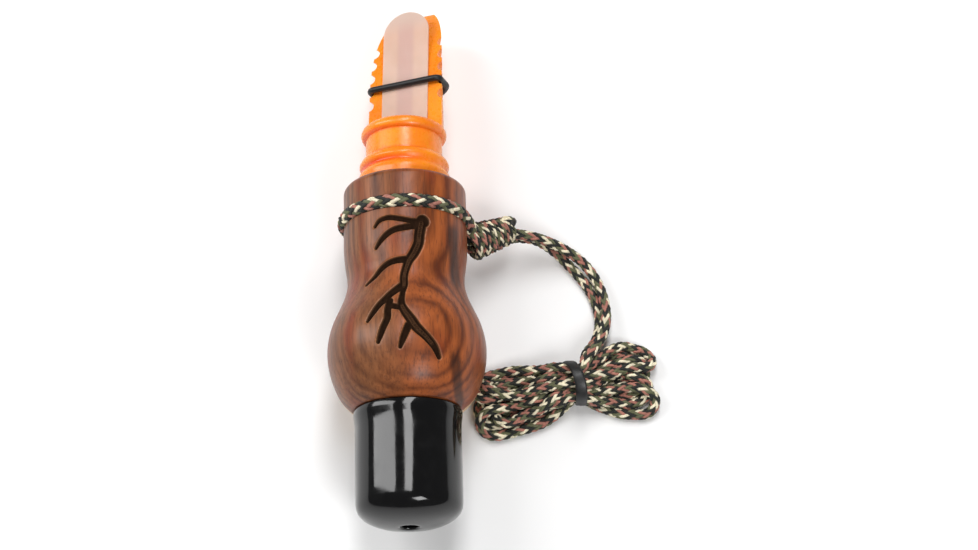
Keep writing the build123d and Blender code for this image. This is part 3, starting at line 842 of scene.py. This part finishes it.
def make_barrel(wood):
    stations, radii = barrel_outline()
    smooth = np.convolve(np.r_[radii[:1], radii, radii[-1:]], (0.25, 0.5, 0.25), "valid")
    groove = (stations < -6.8 * MM) & (stations > -10.9 * MM)
    radii = np.where(groove | (stations > -2 * MM), radii, smooth)
    neck = radii[0]
    rim = [(neck - 1.6 * MM * (1 - math.sin(a)), -1.6 * MM * (1 - math.cos(a)))
           for a in np.linspace(0, math.pi / 2, 9)[:-1]]
    bore = 7.94 * MM
    tenon = 11.4 * MM
    shoulder = stations[-1]
    tenon_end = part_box("barrel")[0].y - RIM_Y
    head = [(bore, tenon_end), (bore, -20 * MM), (bore, -1.2 * MM), (bore + 0.25 * MM, -0.35 * MM),
            (bore + 0.8 * MM, 0), (neck - 2.2 * MM, 0), *rim]
    tail = [(radii[-1] - 0.35 * MM, shoulder - 0.25 * MM), (radii[-1] - 0.9 * MM, shoulder - 0.32 * MM),
            (tenon, shoulder - 0.32 * MM), (tenon, -61 * MM), (tenon, tenon_end + 0.6 * MM),
            (tenon - 0.6 * MM, tenon_end)]
    outline_r = np.r_[[r for r, _ in head], radii, [r for r, _ in tail]]
    outline_s = np.r_[[s for _, s in head], stations, [s for _, s in tail]]
    degrees = np.r_[np.arange(-44, 36, 0.75), np.arange(36, 316, 2.5)]
    angle, station = np.meshgrid(degrees, outline_s)
    radius = np.repeat(outline_r[:, None], len(degrees), axis=1)
    depth = np.zeros_like(radius)
    outer = slice(len(head), len(head) + len(stations))
    signed = np.where(angle > 180, angle - 360, angle)
    depth[outer] = engraving(signed[outer], station[outer], radius[outer])
    cut = radius - depth * ENGRAVE_DEPTH
    turn = np.radians(angle)
    verts = np.stack([cut * np.sin(turn), station + RIM_Y, cut * np.cos(turn) + AXIS_Z], -1).reshape(-1, 3)
    faces = grid_faces(len(outline_r), len(degrees), wrap_rows=True, wrap_columns=True)
    barrel = add_piece("walnut_barrel", verts, faces, wood)
    point_values(barrel, "engraved", np.clip(depth, 0, 1).ravel())
    crease_by_angle(barrel, 50)
    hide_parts("barrel")
    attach(barrel, "barrel")
    return barrel


# ---------------------------------------------------------------- end cap
def make_cap(material):
    """Dip-moulded vinyl cap: rolled lip, long wall with a slight belly, rounded end with a vent."""
    lo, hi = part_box("end_cap")
    mouth = (hi.y - RIM_Y) / MM
    end = (lo.y - RIM_Y) / MM
    wall = 1.05
    side = 12.53
    inner = side - wall
    lip = [(inner + 0.15, mouth), (inner + 0.55 * wall, mouth), (12.78, mouth - 0.12),
           (12.9, mouth - 0.5), (12.82, mouth - 1.6), (12.64, mouth - 2.8), (side, mouth - 4.2)]
    flank = [(side + 0.05 * math.sin(math.pi * k / 10), mouth - 4.2 - k * 1.78) for k in range(1, 11)]
    corner = [(12.36, end + 4.4), (11.9, end + 3.4), (11.03, end + 2.5), (9.9, end + 1.75), (8.7, end + 1.2),
              (7.3, end + 0.72), (5.6, end + 0.36), (3.9, end + 0.14), (2.9, end + 0.05)]
    vent = [(2.35, end + 0.1), (2.1, end + 0.4), (2.1, end + 1.0), (2.3, end + 1.3)]
    inside = [(7.6, end + 1.5), (inner - 1.6, end + 3.0), (inner - 0.35, end + 4.6), (inner, end + 6.2),
              (inner, mouth - 6), (inner, mouth - 0.3)]
    cap = lathe("vinyl_cap", [*lip, *flank, *corner, *vent, *inside], material, 144, 60)
    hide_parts("end_cap")
    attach(cap, "cap")
    return cap


# ---------------------------------------------------------------- insert, reed, rings
FACE_DROP = 1.55
FACE_SLOPE = 0.078
BREAK_AT = 29.8
REED_HALF = 6.25
REED_ROOT_AT = 4.3
REED_TIP_AT = 51.6


def make_insert(plastic):
    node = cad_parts["reed_insert"]
    node.data.materials.clear()
    node.data.materials.append(plastic)
    soften = node.modifiers.new("moulded_edges", "BEVEL")
    soften.width = 0.00022
    soften.segments = 3
    soften.limit_method = "ANGLE"
    soften.angle_limit = math.radians(35)


def make_reed(film):
    """One strip from the slot to its round tip, on one straight slope."""
    stations = np.r_[np.linspace(REED_ROOT_AT, REED_TIP_AT - REED_HALF, 70),
                     REED_TIP_AT - REED_HALF * (1 - np.sin(np.linspace(0.05, 1, 26) * np.pi / 2))]
    stations[-1] = REED_TIP_AT - 0.004
    half = np.full(len(stations), REED_HALF)
    past = stations > REED_TIP_AT - REED_HALF
    half[past] = np.sqrt(np.maximum(REED_HALF ** 2 - (stations[past] - REED_TIP_AT + REED_HALF) ** 2, 0.03))
    base = -FACE_DROP - FACE_SLOPE * (stations - BREAK_AT) + 0.02
    thick = 0.4
    edge = 0.09
    verts, across, tip = [], [], []
    flat = [(u, 0, 0) for u in np.linspace(-0.94, 0.94, 23)]
    top = [(-1, 0, edge), (-1, edge, 0), *flat, (1, -edge, 0), (1, 0, edge)]
    section = [(u, inset, thick - drop) for u, inset, drop in top]
    section += [(u, inset, drop) for u, inset, drop in reversed(top)]
    for station, width, low in zip(stations, half, base):
        for u, inset, height in section:
            x = u * width + inset * min(1, width / 2)
            verts.append(ON_INSERT @ Vector((x * MM, station * MM, (low + height) * MM)))
            across.append(abs(x) * MM)
            tip.append(np.clip((station - 44.5) / 6, 0, 1))
    columns = len(section)
    faces = grid_faces(len(stations), columns, wrap_columns=True).tolist()
    faces.append(list(range(columns))[::-1])
    last = (len(stations) - 1) * columns
    faces.append(list(range(last, last + columns)))
    reed = add_piece("reed", verts, faces, film)
    point_values(reed, "across", across)
    point_values(reed, "tip", tip)
    crease_by_angle(reed, 40)
    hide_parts("reed_root", "reed_tip")
    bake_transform(reed)
    return reed


def finish_node(name, material):
    """Keeps a CAD node's shape and gives it a better material."""
    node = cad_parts[name]
    node.data.materials.clear()
    node.data.materials.append(material)
    node.data.polygons.foreach_set("use_smooth", [True] * len(node.data.polygons))


# ---------------------------------------------------------------- stage
def make_floor():
    size = 1.6
    verts = [(-size, -size, 0), (size, -size, 0), (size, size, 0), (-size, size, 0)]
    floor = add_piece("floor", verts, [(0, 1, 2, 3)], floor_finish(), False)


def add_light(name, place, aim, width, height, energy):
    data = bpy.data.lights.new(name, "AREA")
    data.shape = "RECTANGLE"
    data.size = width
    data.size_y = height
    data.energy = energy
    light = bpy.data.objects.new(name, data)
    light.location = place
    light.rotation_mode = "QUATERNION"
    light.rotation_quaternion = (Vector(aim) - Vector(place)).to_track_quat("-Z", "Y")
    bpy.context.scene.collection.objects.link(light)


def make_lights():
    world = bpy.data.worlds.new("studio")
    bpy.context.scene.world = world
    world.use_nodes = True
    world.node_tree.nodes["Background"].inputs["Color"].default_value = (1, 1, 1, 1)
    world.node_tree.nodes["Background"].inputs["Strength"].default_value = 0.20
    add_light("over", (0.05, 0.22, 0.56), (0, 0, 0.02), 0.17, 0.50, 2.2)
    add_light("left", (-0.50, 0.16, 0.44), (0, 0, 0.02), 0.22, 0.60, 2.7)
    add_light("front", (0.20, -0.34, 0.42), (0, -0.03, 0.02), 0.20, 0.20, 1.2)


# ---------------------------------------------------------------- build
bpy.context.scene.view_settings.view_transform = "Standard"
make_camera()
cord_cloth = braided_cord()
black_rubber = rubber()
lanyard, lanyard_path, lanyard_length = make_lanyard(cord_cloth)
knot = make_knot(cord_cloth)
tail, sealed_end = make_tail(cord_cloth)
band = make_band(black_rubber)
make_neck_loop(cord_cloth)
make_barrel(walnut())
make_cap(vinyl())
make_insert(orange_plastic())
make_reed(milky_film())
for ring in ("tuning_ring", "seal_ring_front", "seal_ring_rear"):
    finish_node(ring, black_rubber)
finish_node("reed_wedge", cork())
make_floor()
make_lights()
